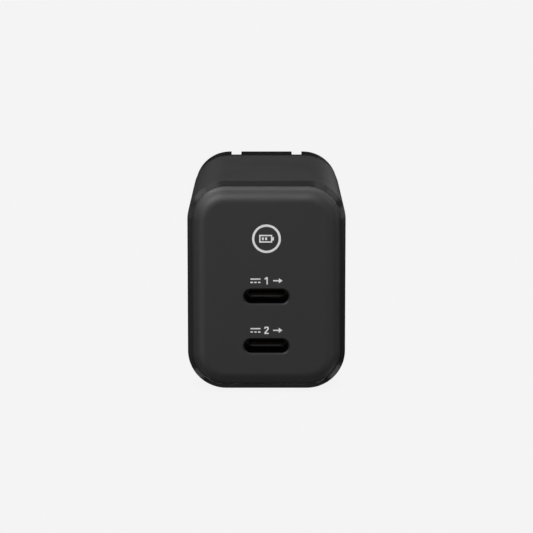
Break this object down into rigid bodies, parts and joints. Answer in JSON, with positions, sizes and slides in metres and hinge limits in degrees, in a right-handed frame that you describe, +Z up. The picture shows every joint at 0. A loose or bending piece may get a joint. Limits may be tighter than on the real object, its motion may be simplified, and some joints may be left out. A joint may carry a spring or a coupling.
{
  "type": "usb wall charger",
  "caption": "Compact wall charger: rounded upright body, soft-edged front with stacked USB-C ports, and mains blades on a rotor that fold into slots in the back.",
  "frame": {"origin": "middle of the underside, half-way between the port face and the back face", "axes": "+X to the right seen from the ports, +Y towards the wall socket, +Z up"},
  "size_m": [0.0304, 0.0746, 0.0403],
  "materials": {
    "housing_plastic": "fine matte texture",
    "frame_plastic": "polished",
    "cover_plastic": "fine matte texture",
    "print_ink": "pad-printed ink",
    "rear_plastic": "satin",
    "rotor_plastic": "satin",
    "blade_metal": "nickel-plated, burnished",
    "carrier_plastic": "moulded nylon",
    "screw_steel": "zinc-plated",
    "spring_bronze": "bare",
    "detent_steel": "bare",
    "live_sleeve": "silicone",
    "neutral_sleeve": "silicone",
    "shell_steel": "drawn",
    "tongue_plastic": "moulded",
    "contact_gold": "gold-plated",
    "board_laminate": "solder mask",
    "chip_epoxy": "moulded",
    "pad_silicone": "soft",
    "spreader_copper": "rolled",
    "sheet_film": "aramid paper",
    "ferrite": "ground",
    "bobbin_plastic": "moulded",
    "winding_tape": "polyester tape",
    "choke_ferrite": "coated",
    "enamelled_wire": "enamelled",
    "film_capacitor_case": "moulded",
    "fuse_case": "moulded",
    "ceramic_coat": "dipped",
    "can_sleeve": "shrink sleeve",
    "can_aluminium": "drawn"
  },
  "bodies": {
    "charger": {"housing": "housing_plastic", "front_frame": "frame_plastic", "front_cover": "cover_plastic", "front_print": "print_ink", "rear_cover": "rear_plastic", "contact_carrier": "carrier_plastic", "carrier_screws": "screw_steel", "contact_spring_left": "spring_bronze", "contact_spring_right": "spring_bronze", "detent_spring": "detent_steel", "lead_wire_live": "live_sleeve", "lead_wire_neutral": "neutral_sleeve", "receptacle_shell_lower": "shell_steel", "receptacle_shell_upper": "shell_steel", "receptacle_tongue_lower": "tongue_plastic", "receptacle_tongue_upper": "tongue_plastic", "receptacle_contacts_lower": "contact_gold", "receptacle_contacts_upper": "contact_gold", "port_board": "board_laminate", "protocol_chip": "chip_epoxy", "main_board": "board_laminate", "link_pins": "contact_gold", "primary_switch": "chip_epoxy", "sync_rectifier": "chip_epoxy", "bridge_rectifier": "chip_epoxy", "thermal_pad": "pad_silicone", "heat_spreader": "spreader_copper", "insulation_sheet": "sheet_film", "transformer_core": "ferrite", "transformer_bobbin": "bobbin_plastic", "transformer_winding": "winding_tape", "choke_core": "choke_ferrite", "choke_winding": "enamelled_wire", "safety_capacitor": "film_capacitor_case", "line_fuse": "fuse_case", "bridging_capacitor": "ceramic_coat", "bulk_capacitor_1": "can_sleeve", "bulk_capacitor_2": "can_sleeve", "bulk_capacitor_3": "can_sleeve", "output_capacitor_1": "can_aluminium", "output_capacitor_2": "can_aluminium"},
    "plug": {"blade_rotor": "rotor_plastic", "blade_left": "blade_metal", "blade_right": "blade_metal"}
  },
  "joints": [
    {"name": "blade_fold", "type": "hinge", "parent": "charger", "child": "plug", "pos_m": [0, 0.0254, 0.018], "axis": [1, 0, 0], "range_deg": [0, 90]}
  ]
}
